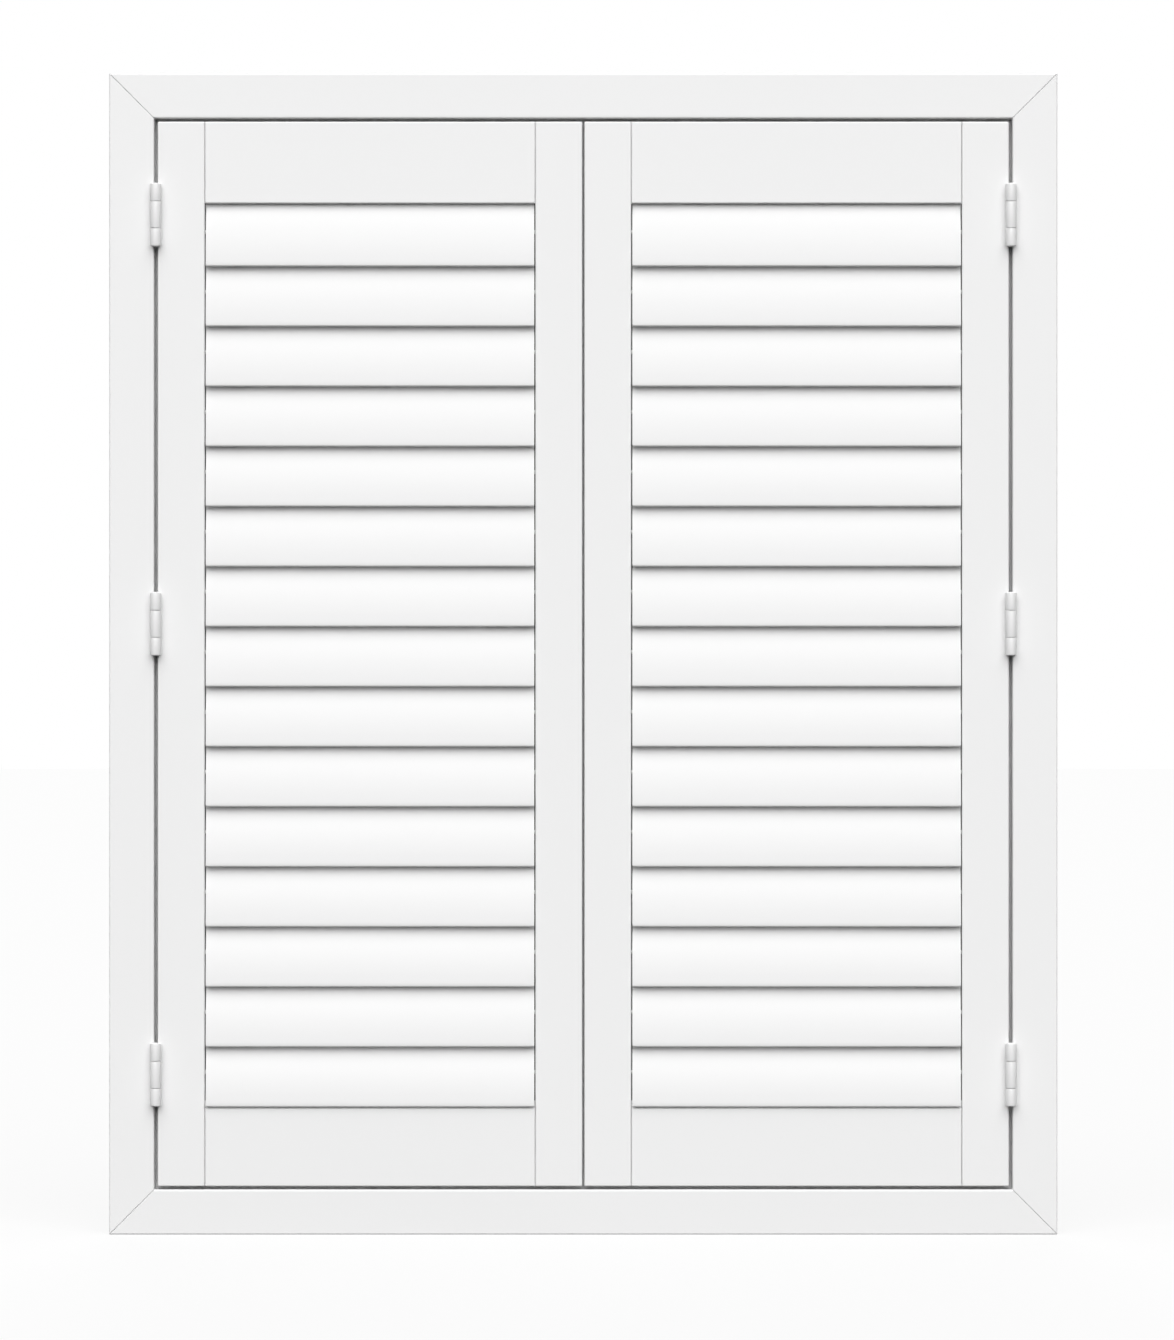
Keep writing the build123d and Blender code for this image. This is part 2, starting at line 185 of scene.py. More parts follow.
class StudioSettings(bpy.types.PropertyGroup):
    """The camera, the lamps and the floor."""

    distance: bpy.props.FloatProperty(
        name="Camera distance", description="From the camera to the face of the frame",
        default=7.4, unit="LENGTH",
    )
    picture_scale: bpy.props.FloatProperty(
        name="Picture scale", description="Real size of one picture element at the face of the frame",
        default=1.08 * MM, unit="LENGTH",
    )
    sky: bpy.props.FloatProperty(
        name="Fill", description="Even light from all round", default=0.02, min=0, max=2
    )
    key: bpy.props.FloatProperty(
        name="Key lamp", description="Strength of the wide lamp above and in front",
        default=4.15, min=0, max=10,
    )
    key_height: bpy.props.FloatProperty(
        name="Key height", description="Angle of the lamp above the floor, seen from the shutters",
        default=math.radians(41), subtype="ANGLE",
    )
    key_width: bpy.props.FloatProperty(
        name="Key spread", description="Angle that the key lamp fills",
        default=math.radians(76), subtype="ANGLE",
    )
    back: bpy.props.FloatProperty(
        name="Back lamp", description="Strength of the lamp that lights the hidden side",
        default=2.2, min=0, max=10,
    )
    back_height: bpy.props.FloatProperty(
        name="Back lamp height", description="Angle of the back lamp above the floor",
        default=math.radians(15), subtype="ANGLE",
    )
    back_width: bpy.props.FloatProperty(
        name="Back lamp spread", description="Angle that the back lamp fills",
        default=math.radians(24), subtype="ANGLE",
    )
    # Painted shade: brightness of the near-black strips that stand in for the shade in the gaps at the
    # louvres' ends
    gap_shade: bpy.props.FloatProperty(
        name="Painted gap shade", description="Brightness of the painted shade in the gaps",
        default=0.05, min=0, max=1,
    )
    floor_white: bpy.props.FloatProperty(
        name="Floor", description="How much light the floor gives back to the eye",
        default=0.8, min=0, max=1, subtype="FACTOR",
    )
    floor_bounce: bpy.props.FloatProperty(
        name="Floor bounce", description="How much light the floor gives back to the shutters",
        default=0.04, min=0, max=1, subtype="FACTOR",
    )
    floor_glow: bpy.props.FloatProperty(
        name="Floor glow", description="Share of the floor's white that no shadow darkens",
        default=0.85, min=0, max=1, subtype="FACTOR",
    )


def linear(hex_colour):
    """The linear colour of an sRGB hex value."""
    parts = [int(hex_colour[i:i + 2], 16) / 255 for i in (0, 2, 4)]
    return [c / 12.92 if c <= 0.04045 else ((c + 0.055) / 1.055) ** 2.4 for c in parts] + [1.0]


def add_node(material, kind, settings=None, **links):
    """Add a shader node, set its attributes and sockets, and link what is given to its sockets."""
    tree = material.node_tree
    node = tree.nodes.new(kind)
    for name, value in (settings or {}).items():
        if name in node.inputs:
            node.inputs[name].default_value = value
        else:
            setattr(node, name, value)
    for name, source in links.items():
        tree.links.new(source, node.inputs[name.replace("_", " ")])
    return node


def largest(owner, sources):
    """The largest of several shader values."""
    result = sources[0]
    for source in sources[1:]:
        node = add_node(owner, "ShaderNodeMath", {"operation": "MAXIMUM"})
        owner.node_tree.links.new(result, node.inputs[0])
        owner.node_tree.links.new(source, node.inputs[1])
        result = node.outputs[0]
    return result


def seen_directly(owner):
    """1 for rays of the camera and of reflections and clear surfaces, 0 for rays of bounced light."""
    rays = add_node(owner, "ShaderNodeLightPath")
    kinds = ("Camera", "Glossy", "Transmission")
    return largest(owner, [rays.outputs[f"Is {kind} Ray"] for kind in kinds])


def new_material(name):
    """A new material without any shader nodes."""
    material = bpy.data.materials.new(name)
    material.use_nodes = True
    material.node_tree.nodes.clear()
    return material


def soft_skin(name, colour, roughness, paint):
    """A dull, even skin with faint, soft bumps, such as a sprayed film or moulded nylon has."""
    material = new_material(name)
    place = add_node(material, "ShaderNodeTexCoord").outputs["Object"]
    bumps = add_node(
        material, "ShaderNodeTexNoise",
        {"Scale": 1 / paint.peel_spacing, "Detail": 2.0, "Roughness": 0.5}, Vector=place,
    )
    bump = add_node(
        material, "ShaderNodeBump", {"Strength": 1.0, "Distance": paint.peel_height},
        Height=bumps.outputs["Fac"],
    )
    shader = add_node(
        material, "ShaderNodeBsdfPrincipled",
        {"Base Color": linear(colour), "Roughness": roughness, "IOR": 1.5},
        Normal=bump.outputs["Normal"],
    )
    add_node(material, "ShaderNodeOutputMaterial", Surface=shader.outputs["BSDF"])
    return material


def plain_metal(name, colour, roughness):
    """Plated steel: a bright, slightly dull metal."""
    material = new_material(name)
    shader = add_node(
        material, "ShaderNodeBsdfPrincipled",
        {"Base Color": linear(colour), "Roughness": roughness, "Metallic": 1.0},
    )
    add_node(material, "ShaderNodeOutputMaterial", Surface=shader.outputs["BSDF"])
    return material


def turned_beech(name, paint):
    """Bare turned beech: a dull, even wood with short fine flecks along the dowel."""
    material = new_material(name)
    place = add_node(material, "ShaderNodeTexCoord").outputs["Object"]
    scale = (1 / paint.fleck_length, 1 / paint.fleck_width, 1 / paint.fleck_width)
    along = add_node(material, "ShaderNodeMapping", {"Scale": scale}, Vector=place)
    flecks = add_node(
        material, "ShaderNodeTexNoise", {"Scale": 1.0, "Detail": 3.0}, Vector=along.outputs["Vector"]
    )
    pale = linear(paint.beech)
    tone = add_node(material, "ShaderNodeValToRGB", Fac=flecks.outputs["Fac"])
    tone.color_ramp.elements[0].color = pale
    tone.color_ramp.elements[1].color = [c * paint.fleck_shade for c in pale[:3]] + [1.0]
    shader = add_node(
        material, "ShaderNodeBsdfPrincipled", {"Roughness": 0.7}, Base_Color=tone.outputs["Color"]
    )
    add_node(material, "ShaderNodeOutputMaterial", Surface=shader.outputs["BSDF"])
    return material


def studio_white(studio):
    """Floor of the studio: white to the eye, less the object's shadow, and dark to bounced light."""
    material = new_material("matt white studio floor")
    seen = seen_directly(material)
    shade = add_node(
        material, "ShaderNodeMapRange", {"To Min": studio.floor_bounce, "To Max": studio.floor_white},
        Value=seen,
    )
    card = add_node(material, "ShaderNodeBsdfDiffuse", Color=shade.outputs["Result"])
    glow = add_node(material, "ShaderNodeEmission", {"Color": WHITE, "Strength": 1.0})
    share = add_node(
        material, "ShaderNodeMapRange", {"To Min": 0.0, "To Max": studio.floor_glow}, Value=seen
    )
    mix = add_node(material, "ShaderNodeMixShader")
    for socket, node in zip(mix.inputs, (share, card, glow)):
        material.node_tree.links.new(node.outputs[0], socket)
    add_node(material, "ShaderNodeOutputMaterial", Surface=mix.outputs[0])
    return material


def painted_gap_shade(brightness):
    """Painted shade for the narrow gaps: an even near-black glow, the same from both sides."""
    material = new_material("painted shade in the gaps")
    # Painted shade: a faint near-black emission in place of the shade inside the gaps
    shade = (brightness, brightness, brightness, 1)
    painted_shade = add_node(material, "ShaderNodeEmission", {"Color": shade, "Strength": 1.0})
    add_node(material, "ShaderNodeOutputMaterial", Surface=painted_shade.outputs[0])
    return material


def finish_nodes(material, names):
    """Give the named nodes of the frame a material."""
    for name in names:
        mesh = frame["nodes"][name].data
        mesh.materials.clear()
        mesh.materials.append(material)


def finish_piece(bm, name, body, node, material, flat=False):
    """Make an object of a mesh, on its body, in place of a node. Flat timber isn't smoothed."""
    bmesh.ops.recalc_face_normals(bm, faces=bm.faces)
    mesh = bpy.data.meshes.new(name)
    bm.to_mesh(mesh)
    bm.free()
    mesh.materials.append(bpy.data.materials[material])
    if flat:
        mesh.shade_flat()
    else:
        mesh.shade_smooth()
        mesh.set_sharp_from_angle(angle=SHARP_ANGLE)
    piece = bpy.data.objects.new(name, mesh)
    bpy.context.scene.collection.objects.link(piece)
    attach(piece, body)
    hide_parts(node)


def joint_of(body):
    """Where a body's own joint is."""
    return next(Vector(joint["pos_m"]) for joint in frame["joints"] if joint["child"] == body)


def solids(node):
    """The boxes of a node's separate solids, each as (lowest, highest) corner."""
    bm = bmesh.new()
    bm.from_mesh(frame["nodes"][node].data)
    bmesh.ops.remove_doubles(bm, verts=bm.verts, dist=WELD)
    left = set(bm.verts)
    boxes = []
    while left:
        waiting = [left.pop()]
        found = []
        while waiting:
            vert = waiting.pop()
            found.append(vert)
            near = {edge.other_vert(vert) for edge in vert.link_edges} & left
            left -= near
            waiting.extend(near)
        corners = list(zip(*(vert.co for vert in found)))
        boxes.append((Vector([min(c) for c in corners]), Vector([max(c) for c in corners])))
    bm.free()
    return sorted(boxes, key=lambda box: (round(box[0].z / MM), box[0].x))


def arc(centre, radius, start, end, steps):
    """Points of an arc in a plane, from one angle to another."""
    angles = [start + (end - start) * i / steps for i in range(steps + 1)]
    return [(centre[0] + radius * math.cos(a), centre[1] + radius * math.sin(a)) for a in angles]


def circle(centre, radius, steps):
    """Points round a circle in a plane."""
    return arc(centre, radius, 0, math.tau, steps)[:-1]


def ring(bm, x, points):
    """Vertices round an outline of (Y, Z) points at one X."""
    return [bm.verts.new((x, y, z)) for y, z in points]


def loop(bm, verts):
    """The closed loop of edges through some vertices, made where it isn't there yet."""
    pairs = [(vert, verts[i - 1]) for i, vert in enumerate(verts)]
    return [bm.edges.get(pair) or bm.edges.new(pair) for pair in pairs]


def wall(bm, first, second):
    """A strip of faces between two rings of as many vertices."""
    bmesh.ops.bridge_loops(bm, edges=loop(bm, first) + loop(bm, second))


def fill(bm, *rings):
    """A flat face inside the first ring, open inside the others."""
    edges = [edge for verts in rings for edge in loop(bm, verts)]
    bmesh.ops.triangle_fill(bm, use_beauty=True, edges=edges)


def turned(profile, steps=KNUCKLE_STEPS):
    """A turned shape from its half section, as points (radius, height) round the Z axis."""
    bm = bmesh.new()
    verts = [bm.verts.new((radius, 0, height)) for radius, height in profile]
    edges = [bm.edges.new(pair) for pair in zip(verts, verts[1:])]
    bmesh.ops.spin(
        bm, geom=verts + edges, cent=(0, 0, 0), axis=(0, 0, 1), angle=math.tau, steps=steps,
        use_merge=True,
    )
    bmesh.ops.remove_doubles(bm, verts=bm.verts, dist=WELD)
    return bm


def add_copies(bm, part, seats):
    """Add a small shape at each seat, a matrix. The small shape is used up."""
    mesh = bpy.data.meshes.new("part")
    part.to_mesh(mesh)
    part.free()
    for seat in seats:
        copy = mesh.copy()
        copy.transform(seat)
        bm.from_mesh(copy)
        bpy.data.meshes.remove(copy)
    bpy.data.meshes.remove(mesh)


def lens_outline(louvre):
    """Section of a louvre: two long arcs that run into round tips, as points (along, across)."""
    half = louvre.thickness / 2
    tip_radius = louvre.tip_radius
    tip_centre = louvre.width / 2 - tip_radius
    face_radius = (tip_centre**2 + half**2 - tip_radius**2) / (louvre.thickness - 2 * tip_radius)
    face_centre = half - face_radius
    spread = math.atan2(tip_centre, -face_centre)
    tip_start = QUARTER_TURN - spread
    face = arc((0, face_centre), face_radius, QUARTER_TURN + spread, tip_start, FACE_STEPS)
    tip = arc((tip_centre, 0), tip_radius, tip_start, -tip_start, TIP_STEPS)
    half_way = face + tip[1:-1]
    return half_way + [(-along, -across) for along, across in half_way]


class LouvreSettings(bpy.types.PropertyGroup):
    """The louvres' section. Their places and lengths come from the frame."""

    width: bpy.props.FloatProperty(
        name="Width", description="Width of a louvre across its blade",
        default=76.2 * MM, unit="LENGTH",
    )
    thickness: bpy.props.FloatProperty(
        name="Thickness", description="Thickness of a louvre in the middle",
        default=8 * MM, unit="LENGTH",
    )
    tip_radius: bpy.props.FloatProperty(
        name="Edge radius", description="Radius of the long edges", default=1.8 * MM, unit="LENGTH"
    )
    end_easing: bpy.props.FloatProperty(
        name="End easing", description="Rounding of the edges of both ends",
        default=0.7 * MM, unit="LENGTH",
    )
    slope: bpy.props.FloatProperty(
        name="Closed slope", description="Slope of the closed blade",
        default=math.radians(80), subtype="ANGLE",
    )
    bore: bpy.props.FloatProperty(
        name="Pivot bore", description="Radius of the bores for the pivots",
        default=2.25 * MM, unit="LENGTH",
    )
    bore_depth: bpy.props.FloatProperty(
        name="Bore depth", description="Depth of those bores", default=12 * MM, unit="LENGTH"
    )
    eye_distance: bpy.props.FloatProperty(
        name="Eye distance", description="From the pivots to the eye for the tilt bar",
        default=43 * MM, unit="LENGTH",
    )
    eye_radius: bpy.props.FloatProperty(
        name="Eye radius", description="Outer radius of the eye", default=3.2 * MM, unit="LENGTH"
    )
    eye_hole: bpy.props.FloatProperty(
        name="Eye hole", description="Radius of the hole in the eye",
        default=1.6 * MM, unit="LENGTH",
    )
    eye_thickness: bpy.props.FloatProperty(
        name="Eye thickness", description="Length of the eye along the blade",
        default=3 * MM, unit="LENGTH",
    )


class SHUTTERS_OT_louvres(bpy.types.Operator):
    """Model the louvres' blades, with eased ends, pivot bores and the eye for the tilt bar"""

    bl_idname = "shutters.louvres"
    bl_label = "Louvres"

    def execute(self, context):
        louvre = context.scene.shutter_louvre
        for side in SIDES:
            bar_low, bar_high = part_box(f"tilt_bar_{side}")
            eye_x = (bar_low.x + bar_high.x) / 2
            for node in sorted(n for n in frame["nodes"] if n.startswith(f"louvre_{side}_")):
                bm = bmesh.new()
                self.add_blade(bm, louvre, node)
                self.add_eye(bm, louvre, node, eye_x)
                finish_piece(bm, "blade_" + node, node, node, SHADED_LOUVRE_PAINT)
        return {"FINISHED"}

    def place(self, louvre, node, points):
        """Points (along, across) of a closed louvre's section as (Y, Z)."""
        pivot = joint_of(node)
        cosine, sine = math.cos(louvre.slope), math.sin(louvre.slope)
        return [(pivot.y + a * cosine - c * sine, pivot.z + a * sine + c * cosine) for a, c in points]

    def add_blade(self, bm, louvre, node):
        """The blade, with a bore in each end."""
        low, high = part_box(node)
        outline = self.place(louvre, node, lens_outline(louvre))
        bore = self.place(louvre, node, circle((0, 0), louvre.bore, BORE_STEPS))
        first, second = (ring(bm, x, outline) for x in (low.x, high.x))
        wall(bm, first, second)
        rims = [edge for verts in (first, second) for edge in bm.faces.new(verts).edges]
        bmesh.ops.bevel(
            bm, geom=rims, offset=louvre.end_easing, segments=END_STEPS, profile=0.5, affect="EDGES",
            material=-1,
        )
        for x, inward in ((low.x, 1), (high.x, -1)):
            end = next(f for f in bm.faces if all(abs(v.co.x - x) < NEAR for v in f.verts))
            rim = list(end.verts)
            bmesh.ops.delete(bm, geom=[end], context="FACES_ONLY")
            mouth = ring(bm, x, bore)
            bottom = ring(bm, x + inward * louvre.bore_depth, bore)
            fill(bm, rim, mouth)
            wall(bm, mouth, bottom)
            fill(bm, bottom)

    def add_eye(self, bm, louvre, node, eye_x):
        """The eye, which stands out from the blade's back edge on a web as thick as its hole."""
        root = louvre.width / 2 - 2 * louvre.tip_radius
        web = louvre.eye_hole
        turn = math.pi - math.asin(web / louvre.eye_radius)
        rim = [(root, web), (root, -web)]
        rim += arc((louvre.eye_distance, 0), louvre.eye_radius, -turn, turn, EYE_STEPS)
        rim = self.place(louvre, node, rim)
        hole = circle((louvre.eye_distance, 0), louvre.eye_hole, EYE_HOLE_STEPS)
        hole = self.place(louvre, node, hole)
        faces = [eye_x + way * louvre.eye_thickness / 2 for way in (-1, 1)]
        outer = [ring(bm, x, rim) for x in faces]
        inner = [ring(bm, x, hole) for x in faces]
        wall(bm, *outer)
        wall(bm, *inner)
        for verts in zip(outer, inner):
            fill(bm, *verts)


class JointSettings(bpy.types.PropertyGroup):
    """The fine open lines at the faces of the timber joints. The joints' places come from the frame."""

    line_width: bpy.props.FloatProperty(
        name="Rail line", description="Width of the line between a rail's face and the stiles",
        default=0.8 * MM, unit="LENGTH",
    )
    line_depth: bpy.props.FloatProperty(
        name="Rail line depth", description="Depth of that line", default=3 * MM, unit="LENGTH"
    )
    mitre_width: bpy.props.FloatProperty(
        name="Mitre line", description="Width of the line at the frame's mitres",
        default=0.5 * MM, unit="LENGTH",
    )
    mitre_depth: bpy.props.FloatProperty(
        name="Mitre line depth", description="Depth of that line", default=2 * MM, unit="LENGTH"
    )


def face_and_body(node, depth):
    """Copies of a timber's mesh, first in front of and then behind a cut parallel to its face."""
    cut_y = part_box(node)[0].y + depth
    parts = []
    for behind in (False, True):
        bm = bmesh.new()
        bm.from_mesh(frame["nodes"][node].data)
        bmesh.ops.remove_doubles(bm, verts=bm.verts, dist=WELD)
        cut = bmesh.ops.bisect_plane(
            bm, geom=bm.verts[:] + bm.edges[:] + bm.faces[:],
            plane_co=(0, cut_y, 0), plane_no=(0, 1, 0), clear_inner=behind, clear_outer=not behind,
        )
        rim = [item for item in cut["geom_cut"] if isinstance(item, bmesh.types.BMEdge)]
        bmesh.ops.holes_fill(bm, edges=rim)
        parts.append(bm)
    return parts


class SHUTTERS_OT_rails(bpy.types.Operator):
    """Model the panels' rails with a fine open line at the face of each joint with a stile"""

    bl_idname = "shutters.rails"
    bl_label = "Rails"

    def execute(self, context):
        joint = context.scene.shutter_joint
        for side in SIDES:
            for node in (f"top_rail_{side}", f"bottom_rail_{side}"):
                low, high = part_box(node)
                face, body = face_and_body(node, joint.line_depth)
                for end, inward in ((low.x, joint.line_width), (high.x, -joint.line_width)):
                    shoulder = [v for v in face.verts if abs(v.co.x - end) < NEAR]
                    bmesh.ops.translate(face, vec=(inward, 0, 0), verts=shoulder)
                add_copies(body, face, [Matrix.Identity(4)])
                panel = f"panel_{side}"
                finish_piece(body, "fitted_" + node, panel, node, TIMBER_PAINT, flat=True)
        return {"FINISHED"}


class SHUTTERS_OT_frame(bpy.types.Operator):
    """Model the frame's four sides with a fine open line at the face of each mitre"""

    bl_idname = "shutters.frame"
    bl_label = "Frame"

    def execute(self, context):
        joint = context.scene.shutter_joint
        low, high = CAD_BOX
        step = joint.mitre_width / math.sqrt(2)
        for node in ("frame_head", "frame_sill", "frame_jamb_left", "frame_jamb_right"):
            face, body = face_and_body(node, joint.mitre_depth)
            upright = "jamb" in node
            for corner in [Vector((x, 0, z)) for x in (low.x, high.x) for z in (low.z, high.z)]:
                end = [v for v in face.verts if self.is_at_mitre(v.co - corner)]
                inward = (0, 0, math.copysign(step, high.z - 2 * corner.z))
                if not upright:
                    inward = (math.copysign(step, -corner.x), 0, 0)
                bmesh.ops.translate(face, vec=inward, verts=end)
            add_copies(body, face, [Matrix.Identity(4)])
            finish_piece(body, "mitred_" + node, "frame", node, TIMBER_PAINT, flat=True)
        return {"FINISHED"}

    def is_at_mitre(self, offset):
        """Whether a place, measured from an outer corner, is at the end of a side there."""
        return abs(offset.x) < MITRE_REACH and abs(abs(offset.x) - abs(offset.z)) < MITRE_BAND


class HingeSettings(bpy.types.PropertyGroup):
    """The hinges' rolled knuckles, leaves and screws. Their places come from the frame."""

    barrel: bpy.props.FloatProperty(
        name="Knuckle radius", description="Outer radius of the knuckles",
        default=6 * MM, unit="LENGTH",
    )
    bore: bpy.props.FloatProperty(
        name="Knuckle bore", description="Radius of the bore for the pin",
        default=2.55 * MM, unit="LENGTH",
    )
    easing: bpy.props.FloatProperty(
        name="Knuckle easing", description="Rounding of the knuckles' ends",
        default=0.6 * MM, unit="LENGTH",
    )
    middle: bpy.props.FloatProperty(
        name="Middle knuckle", description="Length of the middle knuckle",
        default=28.8 * MM, unit="LENGTH",
    )
    gap: bpy.props.FloatProperty(
        name="Knuckle gap", description="Space between two knuckles",
        default=0.4 * MM, unit="LENGTH",
    )
    leaf: bpy.props.FloatProperty(
        name="Leaf thickness", description="Thickness of the leaves",
        default=1.6 * MM, unit="LENGTH",
    )
    leaf_set_back: bpy.props.FloatProperty(
        name="Leaf set back", description="From the frame's face to the leaves' front edge",
        default=0.4 * MM, unit="LENGTH",
    )
    leaf_corner: bpy.props.FloatProperty(
        name="Leaf corner", description="Radius of the leaves' back corners",
        default=3 * MM, unit="LENGTH",
    )
    pin: bpy.props.FloatProperty(
        name="Pin radius", description="Radius of the hinge pins", default=2.5 * MM, unit="LENGTH"
    )
    button: bpy.props.FloatProperty(
        name="Button height", description="Height of the button at each end of a pin",
        default=1 * MM, unit="LENGTH",
    )
    head: bpy.props.FloatProperty(
        name="Screw head", description="Radius of the screws' heads",
        default=3.2 * MM, unit="LENGTH",
    )
    shank: bpy.props.FloatProperty(
        name="Screw shank", description="Radius of the screws", default=1.75 * MM, unit="LENGTH"
    )
    screw_length: bpy.props.FloatProperty(
        name="Screw length", description="Length of the screws", default=18 * MM, unit="LENGTH"
    )
    point: bpy.props.FloatProperty(
        name="Screw point", description="Length of the screws' points",
        default=4 * MM, unit="LENGTH",
    )
    recess: bpy.props.FloatProperty(
        name="Cross recess", description="Reach of the cross recess from the middle of a head",
        default=1.9 * MM, unit="LENGTH",
    )
    recess_width: bpy.props.FloatProperty(
        name="Cross width", description="Width of the cross recess's arms",
        default=0.95 * MM, unit="LENGTH",
    )
    recess_taper: bpy.props.FloatProperty(
        name="Cross taper", description="Size of the recess's bottom beside its mouth",
        default=0.5, min=0.1, max=1, subtype="FACTOR",
    )
    recess_depth: bpy.props.FloatProperty(
        name="Recess depth", description="Depth of the cross recess",
        default=1.3 * MM, unit="LENGTH",
    )


def screw_seats(node, way):
    """Where a node's screws start and which way along X they point: on the right, that is way."""
    seats = []
    for low, high in solids(node):
        outward = way if low.x > 0 else -way
        centre = (low + high) / 2
        seats.append((Vector((low.x if outward > 0 else high.x, centre.y, centre.z)), outward))
    return seats


class SHUTTERS_OT_hinges(bpy.types.Operator):
    """Model the hinges: leaves with countersunk holes, knuckles with rounded ends, and pins"""

    bl_idname = "shutters.hinges"
    bl_label = "Hinges"

    def execute(self, context):
        hinge = context.scene.shutter_hinge
        for node, screws, body, way in LEAVES:
            bm = bmesh.new()
            for box in solids(node):
                self.add_leaf(bm, hinge, node, box, screw_seats(screws, way))
            finish_piece(bm, "rolled_" + node, body, node, HINGE_PAINT)
        self.add_pins(hinge)
        return {"FINISHED"}

    def add_leaf(self, bm, hinge, node, box, seats):
        """One leaf with its knuckles and the holes of its own screws."""
        low, high = box
        side = "right" if low.x > 0 else "left"
        axis = joint_of(f"panel_{side}")
        middle = (low.z + high.z) / 2
        inner = hinge.middle / 2
        outer = inner + hinge.gap
        if "frame" in node:
            spans = [(middle + outer, high.z), (low.z, middle - outer)]
        else:
            spans = [(middle - inner, middle + inner)]
        for foot, top in spans:
            seat = Matrix.Translation((axis.x, axis.y, foot))
            add_copies(bm, self.knuckle(hinge, top - foot), [seat])
        beside = [seat for seat in seats if (seat[0].x > 0) == (low.x > 0)]
        own = [seat for seat in beside if low.z < seat[0].z < high.z]
        self.add_plate(bm, hinge, axis, box, spans, own)

    def knuckle(self, hinge, length):
        """A knuckle that stands on the origin."""
        edge = hinge.barrel - hinge.easing
        foot = arc((edge, hinge.easing), hinge.easing, -QUARTER_TURN, 0, KNUCKLE_END_STEPS)
        top = arc((edge, length - hinge.easing), hinge.easing, 0, QUARTER_TURN, KNUCKLE_END_STEPS)
        return turned([(hinge.bore, 0)] + foot + top + [(hinge.bore, length), (hinge.bore, 0)])

    def add_plate(self, bm, hinge, axis, box, spans, own):
        """A flat leaf with a neck to each knuckle, and a countersunk hole for each screw."""
        low, high = box
        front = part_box("frame_head")[0].y + hinge.leaf_set_back
        neck = axis.y + hinge.barrel / 2
        corner = hinge.leaf_corner
        back = high.y - corner
        outline = arc((back, low.z + corner), corner, -QUARTER_TURN, 0, LEAF_CORNER_STEPS)
        outline += arc((back, high.z - corner), corner, 0, QUARTER_TURN, LEAF_CORNER_STEPS)
        for foot, top in spans:
            outline += [(front, top), (neck, top), (neck, foot), (front, foot)]
        face, outward = own[0][0].x, own[0][1]
        far = face + outward * hinge.leaf
        near_rim, far_rim = ring(bm, face, outline), ring(bm, far, outline)
        wall(bm, near_rim, far_rim)
        near_holes, far_holes = [], []
        for seat, _ in own:
            wide = circle((seat.y, seat.z), hinge.head, SCREW_HOLE_STEPS)
            narrow = circle((seat.y, seat.z), hinge.shank, SCREW_HOLE_STEPS)
            mouth = ring(bm, face, wide)
            throat = ring(bm, face + outward * (hinge.head - hinge.shank), narrow)
            end = ring(bm, far, narrow)
            wall(bm, mouth, throat)
            wall(bm, throat, end)
            near_holes.append(mouth)
            far_holes.append(end)
        fill(bm, near_rim, *near_holes)
        fill(bm, far_rim, *far_holes)

    def add_pins(self, hinge):
        """The pins, with a low round button at both ends."""
        bm = bmesh.new()
        for low, high in solids("hinge_pins"):
            shoulder = (high.z - low.z) / 2 - hinge.button
            reach = (high.x - low.x) / 2
            quarter = arc((0, 0), 1, QUARTER_TURN, 0, BUTTON_STEPS)
            dome = [(x * reach, shoulder + y * hinge.button) for x, y in quarter]
            half = dome + [(hinge.pin, shoulder)]
            profile = half + [(radius, -height) for radius, height in reversed(half)]
            add_copies(bm, turned(profile), [Matrix.Translation((low + high) / 2)])
        finish_piece(bm, "rolled_hinge_pins", "frame", "hinge_pins", HINGE_PAINT)


class SHUTTERS_OT_screws(bpy.types.Operator):
    """Model the hinge screws with a cross recess in each head"""

    bl_idname = "shutters.screws"
    bl_label = "Hinge screws"

    def execute(self, context):
        hinge = context.scene.shutter_hinge
        for _, node, body, way in LEAVES:
            bm = bmesh.new()
            seats = [
                Matrix.Translation(seat) @ Matrix.Rotation(outward * QUARTER_TURN, 4, "Y")
                for seat, outward in screw_seats(node, way)
            ]
            add_copies(bm, self.screw(hinge), seats)
            finish_piece(bm, "recessed_" + node, body, node, HINGE_PAINT)
        return {"FINISHED"}

    def screw(self, hinge):
        """A countersunk screw whose head is flush with the origin and whose point is up Z."""
        neck = hinge.head - hinge.shank
        taper = hinge.screw_length - hinge.point
        profile = [(hinge.head, 0), (hinge.shank, neck), (hinge.shank, taper), (0, hinge.screw_length)]
        bm = turned(profile, steps=SCREW_STEPS)
        rim = [v for v in bm.verts if abs(v.co.z) < NEAR]
        rim.sort(key=lambda v: math.atan2(v.co.y, v.co.x))
        arm = hinge.recess_width / 2
        quarter = [(hinge.recess, -arm), (hinge.recess, arm), (arm, arm)]
        cross = []
        for _ in range(4):
            cross += quarter
            quarter = [(-y, x) for x, y in quarter]
        mouth = [bm.verts.new((x, y, 0)) for x, y in cross]
        floor = [(x * hinge.recess_taper, y * hinge.recess_taper) for x, y in cross]
        bottom = [bm.verts.new((x, y, hinge.recess_depth)) for x, y in floor]
        fill(bm, rim, mouth)
        wall(bm, mouth, bottom)
        fill(bm, bottom)
        return bm


